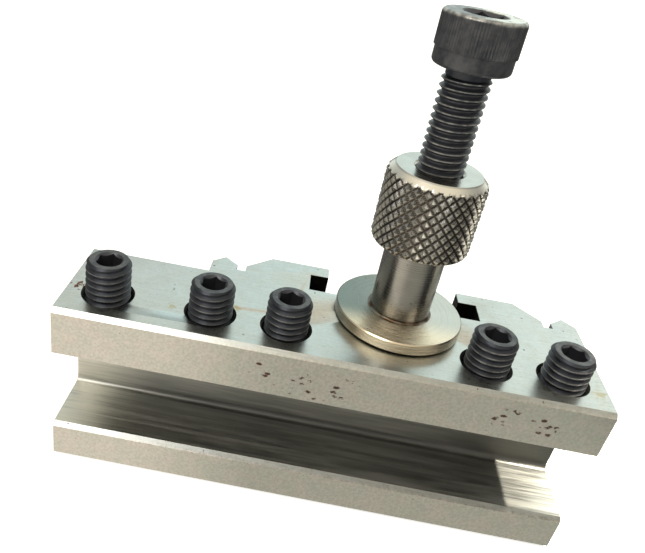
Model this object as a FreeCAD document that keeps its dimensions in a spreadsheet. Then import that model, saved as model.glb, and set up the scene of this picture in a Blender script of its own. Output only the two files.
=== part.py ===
import FreeCAD, Part
import Sketcher
import math
import os
import re

# A quick-change tool holder for a lathe tool post, in millimetres, +Z up.
# X runs along the body, the tool side faces -Y and the clamping side faces +Y.
# The origin is the middle of the holder's outline in plan, on its underside.

doc = FreeCAD.newDocument("tool_holder")
sheet = doc.addObject("Spreadsheet::Sheet", "sizes")

DRIVING_SIZES = [
    ("body_length", 96.8, "holder body, left end to right end"),
    ("body_depth", 21.6, "tool side to the plain rear face"),
    ("jaw_height", 9.4, "upper jaw that the clamping screws pass through"),
    ("channel_height", 16.7, "tool channel, floor to jaw"),
    ("channel_depth", 13.0, "tool channel, mouth to web"),
    ("ledge_height", 8.2, "lower ledge that the tool shank rests on"),
    ("channel_fillet", 1.2, "cutter radius where the floor meets the web"),
    ("front_chamfer", 0.8, "chamfers on the front edges of jaw and ledge"),
    ("foot_chamfer", 0.7, "chamfers round the underside"),
    ("block_width", 73.8, "rear clamping block, flush with the right end"),
    ("block_reach", 9.2, "clamping block, rear face to its lands"),
    ("tooth_width", 5.1, "outer tooth of the block, its outer face to the groove"),
    ("tooth_peak", 6.4, "height of the tooth's ridge above the rear face"),
    ("tooth_shoulder", 4.1, "height at which the tooth's slopes start"),
    ("tooth_ridge_inset", 2.4, "ridge of the tooth from its outer face"),
    ("groove_width", 1.8, "flat bottom of the locating groove"),
    ("groove_floor", 2.3, "bottom of the groove above the rear face"),
    ("land_slope_start", 4.3, "height at which the land's 45 degree slope starts"),
    ("slot_width", 26.6, "mouth of the T slot"),
    ("undercut_width", 33.8, "T slot behind its lips"),
    ("lip_thickness", 3.6, "lips of the T slot"),
    ("running_clearance", 0.05, "radial clearance of threads in their holes"),
    ("screw_diameter", 7.9, "clamping screw over its thread crests"),
    ("screw_length", 16.0, "clamping screw, end to end"),
    ("screw_end_chamfer", 0.6, "chamfer round the socket end"),
    ("screw_point_diameter", 5.5, "flat of the screw's point"),
    ("screw_key", 4.0, "hexagon across its flats"),
    ("screw_key_depth", 4.0, "depth of the hexagon"),
    ("screw_line", 7.6, "row of clamping screws behind the tool side"),
    ("screw_inset", 7.5, "outermost clamping screws from the ends"),
    ("screw_wide_step", 18.5, "first to second screw from the left"),
    ("screw_step", 13.7, "the other neighbouring screws"),
    ("countersink_diameter", 9.4, "countersinks of the screw holes"),
    ("screw_stand_1", 7.0, "first screw from the left, height above the jaw"),
    ("screw_stand_2", 6.3, "second screw, height above the jaw"),
    ("screw_stand_3", 6.2, "third screw, height above the jaw"),
    ("screw_stand_4", 6.6, "fourth screw, height above the jaw"),
    ("screw_stand_5", 5.8, "fifth screw, height above the jaw"),
    ("stud_line", 17.1, "cap screw behind the tool side"),
    ("stud_diameter", 7.9, "cap screw over its thread crests"),
    ("stud_length", 55.0, "cap screw under its head"),
    ("stud_engagement", 7.8, "length of the cap screw inside the jaw"),
    ("stud_end_chamfer", 1.0, "chamfer on the cap screw's end"),
    ("head_diameter", 12.9, "cap screw head over its fine knurl"),
    ("head_height", 8.0, "cap screw head"),
    ("head_band_height", 2.7, "plain band under the fine knurl"),
    ("head_band_inset", 0.25, "plain band below the knurl's surface"),
    ("head_top_chamfer", 0.6, "chamfer round the top of the head"),
    ("head_foot_taper", 0.5, "edge broken under the head's rim"),
    ("neck_taper", 0.6, "corner from the head to the shank"),
    ("head_key", 6.0, "hexagon across its flats"),
    ("head_key_depth", 4.5, "depth of the hexagon"),
    ("nut_lift", 0.3, "height nut's flange above the jaw at rest"),
    ("flange_diameter", 23.6, "flange of the height nut"),
    ("flange_thickness", 2.2, "flange of the height nut"),
    ("flange_chamfer", 0.2, "broken edges of the flange"),
    ("barrel_diameter", 11.0, "barrel of the height nut"),
    ("barrel_taper", 0.5, "corner from the flange to the barrel"),
    ("grip_diameter", 17.5, "knurled grip of the height nut, over its points"),
    ("grip_bottom", 16.2, "underside of the grip above the nut's lower face"),
    ("grip_top", 28.8, "upper end of the knurling above the nut's lower face"),
    ("grip_foot_taper", 0.9, "edge broken at the grip's lower end"),
    ("nut_height", 30.2, "height nut, end to end"),
    ("nut_top_diameter", 14.7, "plain upper face of the nut"),
    ("knurl_row", 1.0, "one row of knurl points to the next"),
    ("knurl_depth", 0.5, "knurl points above the grooves"),
    ("knurl_allowance", 0.3, "stock outside the points before the knurl is cut"),
]

for row, (alias, value, meaning) in enumerate(DRIVING_SIZES, start=1):
    sheet.set(f"A{row}", meaning)
    sheet.set(f"B{row}", str(value))
    sheet.setAlias(f"B{row}", alias)
doc.recompute()

ALIASES = {alias for alias, value, meaning in DRIVING_SIZES}
SCREW_COUNT = 5
KNURL_COUNT = 29
TOLERANCE = 0.001


def size(alias):
    """Read one driving size from the sheet."""
    return float(sheet.get(alias))


def linked(formula):
    """Write a formula of size names the way an object of the document reads it."""
    def link(match):
        word = match.group(0)
        return f"sizes.{word}" if word in ALIASES else word
    return re.sub(r"[a-z][a-z_0-9]*", link, formula)


# Formulas that several pieces share.
FRONT = "(-(body_depth + block_reach) / 2)"
REAR_FACE = f"({FRONT} + body_depth)"
TOP = "(ledge_height + channel_height + jaw_height)"
STUD_X = "((body_length - block_width) / 2)"
STUD_Y = f"({FRONT} + stud_line)"
SCREW_Y = f"({FRONT} + screw_line)"
SCREW_X = [
    "(-body_length / 2 + screw_inset)",
    "(-body_length / 2 + screw_inset + screw_wide_step)",
    "(-body_length / 2 + screw_inset + screw_wide_step + screw_step)",
    "(body_length / 2 - screw_inset - screw_step)",
    "(body_length / 2 - screw_inset)",
]


def new_body(label):
    """Start one sub-part."""
    body = doc.addObject("PartDesign::Body", label)
    body.Label = label
    return body


def new_sketch(body, name, role, height=None):
    """Put a sketch on one of a body's own origin planes, or above it."""
    sketch = body.newObject("Sketcher::SketchObject", name)
    support = next(item for item in body.Origin.OriginFeatures if item.Role == role)
    sketch.AttachmentSupport = [(support, "")]
    sketch.MapMode = "FlatFace"
    if height is not None:
        sketch.setExpression("AttachmentOffset.Base.z", linked(height))
    return sketch


def hold(sketch, kind, name, start, formula, *places):
    """Add one dimension to a sketch and tie it to the sheet."""
    index = sketch.addConstraint(Sketcher.Constraint(kind, *places, start))
    sketch.renameConstraint(index, name)
    sketch.setExpression(f"Constraints.{name}", linked(formula))


def outline(sketch, corners):
    """Draw a closed outline whose corners are held at two formulas each."""
    count = len(corners)
    starts = []
    for number in range(count):
        angle = 2 * math.pi * number / count
        starts.append(FreeCAD.Vector(10 * math.cos(angle), 10 * math.sin(angle), 0))
    for number in range(count):
        sketch.addGeometry(Part.LineSegment(starts[number], starts[(number + 1) % count]))
    for number in range(count):
        sketch.addConstraint(Sketcher.Constraint("Coincident", number, 2, (number + 1) % count, 1))
    for number, (across, up) in enumerate(corners):
        start = starts[number]
        hold(sketch, "DistanceX", f"across_{number}", start.x, across, -1, 1, number, 1)
        hold(sketch, "DistanceY", f"up_{number}", start.y, up, -1, 1, number, 1)


def circles(sketch, centres, diameter):
    """Draw equal circles at centres given as pairs of formulas."""
    for number, (across, up) in enumerate(centres):
        start = FreeCAD.Vector(10.0 * (number + 1), 5.0, 0)
        sketch.addGeometry(Part.Circle(start, FreeCAD.Vector(0, 0, 1), 2.0))
        hold(sketch, "DistanceX", f"across_{number}", start.x, across, -1, 1, number, 3)
        hold(sketch, "DistanceY", f"up_{number}", start.y, up, -1, 1, number, 3)
        hold(sketch, "Diameter", f"wide_{number}", 4.0, diameter, number)


def hexagon(key):
    """Corners of a hexagonal socket, two of its flats across X."""
    half = f"({key} / 2)"
    corner = f"({key} / sqrt(3))"
    return [
        (half, f"{corner} / 2"), ("0", corner), (f"-{half}", f"{corner} / 2"),
        (f"-{half}", f"-{corner} / 2"), ("0", f"-{corner}"), (half, f"-{corner} / 2"),
    ]


def pad(body, name, sketch, length, both_ways=False):
    """Raise a sketch by a length."""
    feature = body.newObject("PartDesign::Pad", name)
    feature.Profile = sketch
    feature.setExpression("Length", linked(length))
    if both_ways:
        feature.SideType = "Symmetric"
    doc.recompute()


def pocket(body, name, sketch, depth=None):
    """Cut a sketch into the body, downwards, right through without a depth."""
    before = body.Shape.Volume
    feature = body.newObject("PartDesign::Pocket", name)
    feature.Profile = sketch
    if depth is None:
        feature.Type = "ThroughAll"
    else:
        feature.setExpression("Length", linked(depth))
    doc.recompute()
    must_shrink(body, name, before)


def revolve(body, name, sketch):
    """Turn a half section round the body's Z axis."""
    feature = body.newObject("PartDesign::Revolution", name)
    feature.Profile = sketch
    feature.ReferenceAxis = (sketch, ["V_Axis"])
    feature.Angle = 360
    doc.recompute()


def must_shrink(item, name, before):
    """Stop if a cut took nothing away."""
    if item.Shape.Volume > before - TOLERANCE:
        raise RuntimeError(f"{name} removes nothing")


def edges_where(body, test):
    """Name the edges of a body whose ends and middle pass a test."""
    names = []
    for number, edge in enumerate(body.Shape.Edges, start=1):
        middle = edge.valueAt((edge.FirstParameter + edge.LastParameter) / 2)
        if all(test(point) for point in [middle] + [vertex.Point for vertex in edge.Vertexes]):
            names.append(f"Edge{number}")
    return names


def dress(body, kind, name, amount, test):
    """Round or chamfer the edges that pass a test."""
    names = edges_where(body, test)
    if not names:
        raise RuntimeError(f"{name} finds no edge")
    base = body.Tip
    feature = body.newObject(f"PartDesign::{kind}", name)
    feature.Base = (base, names)
    feature.setExpression("Radius" if kind == "Fillet" else "Size", linked(amount))
    doc.recompute()


def near(value, target):
    """Compare two lengths."""
    return abs(value - target) < TOLERANCE


def make_holder_body():
    """Milled steel body: jaw, tool channel, ledge and the rear clamping block."""
    body = new_body("holder_body")
    web = f"({FRONT} + channel_depth)"
    ceiling = "(ledge_height + channel_height)"

    section = new_sketch(body, "section", "YZ_Plane")
    outline(section, [
        (FRONT, "0"), (REAR_FACE, "0"), (REAR_FACE, TOP), (FRONT, TOP),
        (FRONT, ceiling), (web, ceiling), (web, "ledge_height"), (FRONT, "ledge_height"),
    ])
    pad(body, "bar", section, "body_length", both_ways=True)

    front = -(size("body_depth") + size("block_reach")) / 2
    floor = size("ledge_height")
    top = floor + size("channel_height") + size("jaw_height")
    inner = front + size("channel_depth")
    half = size("body_length") / 2
    dress(body, "Fillet", "channel_corner", "channel_fillet",
          lambda p: near(p.y, inner) and near(p.z, floor))
    dress(body, "Chamfer", "front_edges", "front_chamfer",
          lambda p: near(p.y, front) and (near(p.z, floor) or near(p.z, top)))

    block = new_sketch(body, "block_plan", "XY_Plane")
    outline(block, block_corners())
    pad(body, "clamping_block", block, TOP)
    slot = new_sketch(body, "slot_plan", "XY_Plane", TOP)
    outline(slot, slot_corners())
    pocket(body, "t_slot", slot)

    dress(body, "Chamfer", "foot_edges", "foot_chamfer",
          lambda p: near(p.z, 0) and (near(p.y, front) or near(abs(p.x), half)))

    screw_plan = new_sketch(body, "screw_plan", "XY_Plane", TOP)
    circles(screw_plan, [(x, SCREW_Y) for x in SCREW_X], "screw_diameter")
    drill(body, "screw_holes", screw_plan, "screw_diameter + 2 * running_clearance",
          "jaw_height + channel_height / 4", "countersink_diameter")
    stud_plan = new_sketch(body, "stud_plan", "XY_Plane", TOP)
    circles(stud_plan, [(STUD_X, STUD_Y)], "stud_diameter")
    drill(body, "stud_hole", stud_plan, "stud_diameter + 2 * running_clearance", "stud_engagement")
    return body


def block_corners():
    """Plan of the clamping block: teeth, locating grooves and lands, both sides alike."""
    ridge = f"({REAR_FACE} + tooth_peak)"
    shoulder = f"({REAR_FACE} + tooth_shoulder)"
    floor = f"({REAR_FACE} + groove_floor)"
    slope = f"({REAR_FACE} + land_slope_start)"
    land = f"({REAR_FACE} + block_reach)"
    outer = "(block_width / 2)"
    groove_out = "(block_width / 2 - tooth_width)"
    groove_in = "(block_width / 2 - tooth_width - groove_width)"
    root = f"({REAR_FACE} - (body_depth - channel_depth) / 2)"
    half_plan = [
        (outer, root), (outer, shoulder),
        ("(block_width / 2 - tooth_ridge_inset)", ridge),
        (groove_out, shoulder), (groove_out, floor), (groove_in, floor), (groove_in, slope),
        (f"({groove_in} - block_reach + land_slope_start)", land),
    ]
    right = [(f"{STUD_X} + {x}", y) for x, y in half_plan]
    left = [(f"{STUD_X} - {x}", y) for x, y in reversed(half_plan)]
    return right + left


def slot_corners():
    """Plan of the T slot, open to the rear."""
    floor = REAR_FACE
    lip = f"({REAR_FACE} + block_reach - lip_thickness)"
    outside = f"({REAR_FACE} + block_reach + lip_thickness)"
    right = [
        ("(undercut_width / 2)", floor), ("(undercut_width / 2)", lip),
        ("(slot_width / 2)", lip), ("(slot_width / 2)", outside),
    ]
    left = [(f"{STUD_X} - {x}", y) for x, y in reversed(right)]
    return [(f"{STUD_X} + {x}", y) for x, y in right] + left


def drill(body, name, sketch, diameter, depth, countersink=None):
    """Drill flat-bottomed holes down from a sketch's circles."""
    before = body.Shape.Volume
    hole = body.newObject("PartDesign::Hole", name)
    hole.Profile = sketch
    doc.recompute()
    hole.ThreadType = "None"
    hole.DepthType = "Dimension"
    hole.DrillPoint = "Flat"
    hole.setExpression("Diameter", linked(diameter))
    hole.setExpression("Depth", linked(depth))
    if countersink is not None:
        hole.HoleCutType = "Countersink"
        hole.HoleCutCountersinkAngle = 90
        hole.setExpression("HoleCutDiameter", linked(countersink))
    doc.recompute()
    must_shrink(body, name, before)


def make_clamping_screw(number):
    """Socket set screw with a flat point, standing part way out of the jaw."""
    body = new_body(f"clamping_screw_{number}")
    radius = "(screw_diameter / 2)"
    point = "(screw_point_diameter / 2)"
    half_section = new_sketch(body, f"screw_section_{number}", "XZ_Plane")
    outline(half_section, [
        ("0", "0"), (f"{radius} - screw_end_chamfer", "0"), (radius, "-screw_end_chamfer"),
        (radius, f"-screw_length + {radius} - {point}"), (point, "-screw_length"),
        ("0", "-screw_length"),
    ])
    revolve(body, f"screw_{number}", half_section)
    socket = new_sketch(body, f"screw_socket_plan_{number}", "XY_Plane")
    outline(socket, hexagon("screw_key"))
    pocket(body, f"screw_socket_{number}", socket, "screw_key_depth")
    place(body, SCREW_X[number - 1], SCREW_Y, f"{TOP} + screw_stand_{number}")
    return body


def make_cap_screw():
    """Socket head cap screw that the height nut runs on, screwed home in the jaw."""
    body = new_body("cap_screw")
    shank = "(stud_diameter / 2)"
    head = "(head_diameter / 2)"
    band = "(head_diameter / 2 - head_band_inset)"
    lead = "(head_key * 0.6)"
    half_section = new_sketch(body, "cap_screw_section", "XZ_Plane")
    outline(half_section, [
        ("0", "-stud_length"), (f"{shank} - stud_end_chamfer", "-stud_length"),
        (shank, "-stud_length + stud_end_chamfer"), (shank, "-neck_taper"),
        (f"{shank} + neck_taper", "0"), (f"{band} - head_foot_taper", "0"),
        (band, "head_foot_taper"), (band, "head_band_height"),
        (head, "head_band_height"), (head, "head_height - head_top_chamfer"),
        (f"{head} - head_top_chamfer", "head_height"), (lead, "head_height"),
        ("0", f"head_height - {lead} * tan(30)"),
    ])
    revolve(body, "cap_screw_turned", half_section)
    socket = new_sketch(body, "head_socket_plan", "XY_Plane", "head_height")
    outline(socket, hexagon("head_key"))
    pocket(body, "head_socket", socket, "head_key_depth")
    place(body, STUD_X, STUD_Y, f"{TOP} + stud_length - stud_engagement")
    return body


def make_height_nut():
    """Turned nut in one piece: flange, barrel and a grip with a diamond knurl."""
    body = new_body("turned_nut")
    bore = "(stud_diameter / 2 + running_clearance)"
    flange = "(flange_diameter / 2)"
    barrel = "(barrel_diameter / 2)"
    grip = "(grip_diameter / 2)"
    stock = "(grip_diameter / 2 + knurl_allowance)"
    top_slope = "((nut_height - grip_top) / (grip_diameter - nut_top_diameter) * 2)"
    half_section = new_sketch(body, "nut_section", "XZ_Plane")
    outline(half_section, [
        (bore, "0"), (f"{flange} - flange_chamfer", "0"), (flange, "flange_chamfer"),
        (flange, "flange_thickness - flange_chamfer"),
        (f"{flange} - flange_chamfer", "flange_thickness"),
        (f"{barrel} + barrel_taper", "flange_thickness"),
        (barrel, "flange_thickness + barrel_taper"), (barrel, "grip_bottom"),
        (f"{grip} - grip_foot_taper", "grip_bottom"),
        (stock, "grip_bottom + grip_foot_taper + knurl_allowance"),
        (stock, f"grip_top - knurl_allowance * {top_slope}"),
        ("nut_top_diameter / 2", "nut_height"), (bore, "nut_height"),
    ])
    revolve(body, "nut_turned", half_section)
    relief = doc.addObject("Part::Feature", "knurl_relief")
    relief.Shape = knurl_relief()
    nut = doc.addObject("Part::Cut", "height_nut")
    nut.Label = "height_nut"
    nut.Base = body
    nut.Tool = relief
    doc.recompute()
    must_shrink(nut, "the knurl", body.Shape.Volume)
    place(nut, STUD_X, STUD_Y, f"{TOP} + nut_lift")
    return nut


def knurl_relief():
    """Ring round the grip whose bore is the knurl: staggered points with grooves between.

    Each cell of the lattice has two points and two groove crossings, and folds
    along the groove from one crossing to the other.
    """
    crest = size("grip_diameter") / 2
    root = crest - size("knurl_depth")
    outside = crest + 2 * size("knurl_allowance")
    start = size("grip_bottom") - size("knurl_row")
    rows = math.ceil((size("nut_height") + size("knurl_row") - start) / size("knurl_row"))
    columns = 2 * KNURL_COUNT

    def point(column, row, radius):
        angle = 2 * math.pi * (column % columns) / columns
        height = start + row * size("knurl_row")
        return FreeCAD.Vector(radius * math.cos(angle), radius * math.sin(angle), height)

    def wall(column, row):
        return point(column, row, outside)

    def knurl(column, row):
        return point(column, row, root if (column + row) % 2 else crest)

    def ring(place_point, row):
        return Part.makePolygon([place_point(column, row) for column in range(columns + 1)])

    faces = [Part.makeFace([ring(wall, row), ring(knurl, row)], "Part::FaceMakerBullseye")
             for row in (0, rows)]
    for column in range(columns):
        upright = [wall(column, 0), wall(column + 1, 0), wall(column + 1, rows), wall(column, rows)]
        faces.append(Part.Face(Part.makePolygon(upright + upright[:1])))
        for row in range(rows):
            cell = [knurl(column, row), knurl(column + 1, row),
                    knurl(column + 1, row + 1), knurl(column, row + 1)]
            if (column + row) % 2:
                cell = cell[1:] + cell[:1]
            point_1, crossing_1, point_2, crossing_2 = cell
            faces.append(Part.Face(Part.makePolygon([point_1, crossing_1, crossing_2, point_1])))
            faces.append(Part.Face(Part.makePolygon([point_2, crossing_2, crossing_1, point_2])))
    return Part.makeSolid(Part.makeShell(faces))


def place(item, across, back, up):
    """Set a sub-part in the holder."""
    for axis, formula in (("x", across), ("y", back), ("z", up)):
        item.setExpression(f"Placement.Base.{axis}", linked(formula))
    doc.recompute()


def write_parts(parts):
    """Check the whole document, then write each sub-part to its own file."""
    doc.recompute()
    for item in doc.Objects:
        if "Invalid" in item.State or "Error" in item.State:
            raise RuntimeError(f"{item.Name} failed: {item.State}")
    for part in parts:
        if part.Shape.isNull() or not part.Shape.isValid():
            raise RuntimeError(f"{part.Label} has no valid shape")
    os.makedirs("parts", exist_ok=True)
    for part in parts:
        part.Shape.exportStep(os.path.join("parts", f"{part.Label}.step"))
        print(part.Label, round(part.Shape.Volume, 3), "mm3", len(part.Shape.Solids), "solid")


pieces = [make_holder_body(), make_cap_screw(), make_height_nut()]
pieces += [make_clamping_screw(number) for number in range(1, SCREW_COUNT + 1)]
write_parts(pieces)
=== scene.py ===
# A quick-change tool holder for a lathe tool post, dressed over its frame, in metres.
import math

import bmesh
import bpy
from mathutils import Matrix, Vector


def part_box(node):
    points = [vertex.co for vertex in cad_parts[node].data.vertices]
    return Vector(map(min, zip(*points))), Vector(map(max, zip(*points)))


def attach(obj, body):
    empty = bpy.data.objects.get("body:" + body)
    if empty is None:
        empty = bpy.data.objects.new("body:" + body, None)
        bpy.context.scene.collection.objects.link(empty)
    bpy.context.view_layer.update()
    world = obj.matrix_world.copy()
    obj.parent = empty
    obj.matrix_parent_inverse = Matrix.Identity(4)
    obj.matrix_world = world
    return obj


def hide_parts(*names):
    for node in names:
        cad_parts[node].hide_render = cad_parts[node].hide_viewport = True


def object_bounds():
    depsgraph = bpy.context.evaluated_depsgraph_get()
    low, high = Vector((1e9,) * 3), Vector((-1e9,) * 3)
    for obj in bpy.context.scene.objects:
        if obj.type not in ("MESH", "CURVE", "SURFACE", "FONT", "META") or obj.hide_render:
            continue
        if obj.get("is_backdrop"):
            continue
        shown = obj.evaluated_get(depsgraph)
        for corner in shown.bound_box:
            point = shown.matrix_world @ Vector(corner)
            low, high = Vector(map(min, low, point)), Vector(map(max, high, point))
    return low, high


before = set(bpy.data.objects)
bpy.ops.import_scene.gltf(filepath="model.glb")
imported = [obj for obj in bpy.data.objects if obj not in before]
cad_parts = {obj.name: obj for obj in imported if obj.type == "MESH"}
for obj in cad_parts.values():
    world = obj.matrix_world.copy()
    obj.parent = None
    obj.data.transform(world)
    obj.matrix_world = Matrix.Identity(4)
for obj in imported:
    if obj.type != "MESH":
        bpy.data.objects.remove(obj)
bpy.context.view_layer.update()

# Camera. It looks down at the tool side from the front left, tilted clockwise a little,
# and stands about 150 mm away, where the long body shows its strong perspective.
CAMERA_PLACE = Vector((-0.010476, -0.104381, 0.102018))
CAMERA_RIGHT = Vector((0.982666, 0.105457, 0.152465))
CAMERA_UP = Vector((-0.184774, 0.490545, 0.851601))
CAMERA_AHEAD = Vector((-0.015016, 0.865011, -0.501528))

lens = bpy.data.cameras.new("camera")
lens.sensor_width = 36
lens.lens = 36.9946
lens.shift_x = 0.0705
lens.shift_y = -0.01508
lens.clip_start = 0.005
camera = bpy.data.objects.new("camera", lens)
turn = Matrix((CAMERA_RIGHT, CAMERA_UP, -CAMERA_AHEAD)).transposed()
camera.matrix_world = Matrix.Translation(CAMERA_PLACE) @ turn.to_4x4()
bpy.context.scene.collection.objects.link(camera)
bpy.context.scene.camera = camera


# Floor and light. A plain white floor and backdrop, a soft box at the front left and a
# narrow warm lamp high on the right. The room that the steel reflects is bright and cool
# behind and dark in front, with a low window at the front right.
def put(tree, socket, value):
    """Set a socket, or link it to another node's."""
    if isinstance(value, bpy.types.NodeSocket):
        tree.links.new(value, socket)
    else:
        socket.default_value = value


def node(tree, kind, values=None, **settings):
    """Add a node with its settings, and its inputs by name or number."""
    made = tree.nodes.new(kind)
    for name, value in settings.items():
        setattr(made, name, value)
    for key, value in (values or {}).items():
        put(tree, made.inputs[key], value)
    return made


def calc(tree, operation, *values):
    """Add a Math node and return its result."""
    return node(tree, "ShaderNodeMath", dict(enumerate(values)), operation=operation).outputs[0]


def fade(tree, value, low, high, first=0.0, last=1.0):
    """Carry a value smoothly from low to high over to first to last."""
    values = {"Value": value, "From Min": low, "From Max": high, "To Min": first, "To Max": last}
    made = node(tree, "ShaderNodeMapRange", values, interpolation_type="SMOOTHSTEP")
    return made.outputs["Result"]


def blend(tree, share, first, second, mode="MIX"):
    """Mix two colours."""
    made = node(tree, "ShaderNodeMix", {0: share, 6: first, 7: second},
                data_type="RGBA", blend_type=mode)
    return made.outputs[2]


def ramp(tree, value, stops):
    """Colour a value by places along it."""
    made = node(tree, "ShaderNodeValToRGB", {0: value})
    ends = made.color_ramp.elements
    while len(ends) < len(stops):
        ends.new(0.5)
    for end, (place, colour) in zip(ends, stops):
        end.position = place
        end.color = (*colour, 1)
    return made.outputs["Color"]


def hang_lamp(name, kind, place, aim, power, colour, **settings):
    """Hang a lamp that points at a place."""
    light = bpy.data.lights.new(name, kind)
    light.energy = power
    light.color = colour
    for label, value in settings.items():
        setattr(light, label, value)
    lamp = bpy.data.objects.new(name, light)
    lamp.location = place
    lamp.rotation_euler = (Vector(aim) - Vector(place)).to_track_quat("-Z", "Y").to_euler()
    bpy.context.scene.collection.objects.link(lamp)


FLOOR_SIZE = 3.0
FLOOR_WHITE = (0.93, 0.93, 0.93, 1)
FLOOR_GLOW = 0.6
# What polished steel sees of the floor in front, from the left of the holder to its right.
FLOOR_SHEEN = [(0.0, (1.20, 1.10, 0.95)), (0.267, (1.02, 0.95, 0.82)), (0.381, (0.60, 0.58, 0.50)),
               (0.571, (0.58, 0.56, 0.48)), (0.762, (0.56, 0.56, 0.48)), (0.87, (0.22, 0.21, 0.19)),
               (1.0, (0.15, 0.15, 0.13))]
SHEEN_LEFT, SHEEN_RIGHT = -0.09, 0.12
SHEEN_BEHIND = (0.20, 0.195, 0.18, 1)
SHEEN_EDGE = (-0.016, 0.012)

half = FLOOR_SIZE / 2
floor_mesh = bpy.data.meshes.new("floor")
floor_mesh.from_pydata([(-half, -half, 0), (half, -half, 0), (half, half, 0), (-half, half, 0)],
                       [], [(0, 1, 2, 3)])
floor = bpy.data.objects.new("floor", floor_mesh)
bpy.context.scene.collection.objects.link(floor)
floor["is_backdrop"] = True
floor_paint = bpy.data.materials.new("pale_floor")
floor_paint.use_nodes = True
tree = floor_paint.node_tree
shader = tree.nodes["Principled BSDF"]
shader.inputs["Base Color"].default_value = FLOOR_WHITE
shader.inputs["Roughness"].default_value = 0.9
shader.inputs["Emission Color"].default_value = FLOOR_WHITE
shader.inputs["Emission Strength"].default_value = FLOOR_GLOW
across = node(tree, "ShaderNodeSeparateXYZ", {0: node(tree, "ShaderNodeTexCoord").outputs["Object"]})
share = node(tree, "ShaderNodeMapRange", {"Value": across.outputs["X"], "From Min": SHEEN_LEFT,
                                          "From Max": SHEEN_RIGHT})
in_front = ramp(tree, share.outputs["Result"], FLOOR_SHEEN)
farther = fade(tree, across.outputs["Y"], *SHEEN_EDGE)
sheen = node(tree, "ShaderNodeEmission", {"Color": blend(tree, farther, in_front, SHEEN_BEHIND)})
seen_in_steel = node(tree, "ShaderNodeLightPath").outputs["Is Glossy Ray"]
both = node(tree, "ShaderNodeMixShader", {0: seen_in_steel, 1: shader.outputs[0], 2: sheen.outputs[0]})
put(tree, tree.nodes["Material Output"].inputs["Surface"], both.outputs[0])
floor_paint.cycles.emission_sampling = "NONE"
floor_mesh.materials.append(floor_paint)

# The room by direction: behind the holder from left to right, then in front of it.
ROOM_BACK = [(0.0, (0.35, 0.35, 0.33)), (0.20, (0.55, 0.57, 0.53)), (0.33, (0.94, 1.00, 0.94)),
             (0.50, (1.02, 1.24, 1.22)), (0.66, (1.24, 1.40, 1.34)), (0.82, (1.15, 1.20, 1.10)),
             (0.92, (0.32, 0.31, 0.28)), (1.0, (0.22, 0.21, 0.19))]
ROOM_FRONT = [(0.0, (0.45, 0.42, 0.36)), (0.25, (0.20, 0.185, 0.16)), (0.45, (0.09, 0.085, 0.08)),
              (0.76, (0.10, 0.095, 0.085)), (0.92, (0.30, 0.28, 0.25)), (1.0, (0.42, 0.40, 0.35))]
WINDOW = (2.4, 2.26, 1.98, 1)
WINDOW_LEFT = (0.46, 0.60)
WINDOW_RIGHT = (-0.40, -0.55)
WINDOW_TOP = (0.40, 0.29)
ROOM_TOP = (1.05, 0.97, 0.80, 1)
ROOM_TOP_EDGE = (0.58, 0.86)
ROOM_BACK_EDGE = (-0.25, 0.35)
BACKDROP = (1.0, 1.0, 1.0, 1)

world = bpy.data.worlds.new("room")
bpy.context.scene.world = world
world.use_nodes = True
sky = world.node_tree
direction = node(sky, "ShaderNodeTexCoord").outputs["Generated"]
split = node(sky, "ShaderNodeSeparateXYZ", {0: direction})
sideways = node(sky, "ShaderNodeMapRange", {"Value": split.outputs["X"], "From Min": -1.0,
                                            "From Max": 1.0})
behind = fade(sky, split.outputs["Y"], *ROOM_BACK_EDGE)
back = ramp(sky, sideways.outputs["Result"], ROOM_BACK)
in_window = calc(sky, "MULTIPLY", fade(sky, split.outputs["X"], *WINDOW_LEFT),
                 fade(sky, split.outputs["Y"], *WINDOW_RIGHT))
in_window = calc(sky, "MULTIPLY", in_window, fade(sky, split.outputs["Z"], *WINDOW_TOP))
front = blend(sky, in_window, ramp(sky, sideways.outputs["Result"], ROOM_FRONT), WINDOW)
around = blend(sky, behind, front, back)
overhead = fade(sky, split.outputs["Z"], *ROOM_TOP_EDGE)
seen_direct = node(sky, "ShaderNodeLightPath").outputs["Is Camera Ray"]
room = blend(sky, overhead, around, ROOM_TOP)
put(sky, sky.nodes["Background"].inputs["Color"], blend(sky, seen_direct, room, BACKDROP))
bpy.context.scene.view_settings.view_transform = "Standard"

SOFT_BOX_PLACE, SOFT_BOX_AIM = (-0.29, -0.39, 0.54), (0, 0, 0.02)
SOFT_BOX_POWER, SOFT_BOX_WHITE = 1.6, (1.0, 0.98, 0.94)
WARM_LAMP_PLACE, WARM_LAMP_AIM = (0.37, 0.02, 0.54), (0.060, -0.006, 0.004)
WARM_LAMP_POWER, WARM_LAMP_WHITE = 62.0, (1.0, 0.93, 0.78)
WARM_LAMP_SPREAD = math.radians(5.4)
hang_lamp("soft_box", "AREA", SOFT_BOX_PLACE, SOFT_BOX_AIM, SOFT_BOX_POWER, SOFT_BOX_WHITE,
          shape="RECTANGLE", size=0.34, size_y=0.30)
hang_lamp("warm_lamp", "SPOT", WARM_LAMP_PLACE, WARM_LAMP_AIM, WARM_LAMP_POWER, WARM_LAMP_WHITE,
          spot_size=WARM_LAMP_SPREAD, spot_blend=0.3, shadow_soft_size=0.02)


# Holder body. One bar of steel, milled to a channel on the tool side and to a block with
# a T slot and vee teeth behind, then ground. Its edges are only just broken.
EDGE_BREAK = 0.00010
MERGE = 0.000002
FLAT_ANGLE = math.radians(1.0)
BODY_SMOOTH = math.radians(25)
SQUARE_EDGE = math.radians(50)


def new_piece(name, mesh):
    """Put a mesh in the scene."""
    piece = bpy.data.objects.new(name, mesh)
    bpy.context.scene.collection.objects.link(piece)
    return piece


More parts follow.
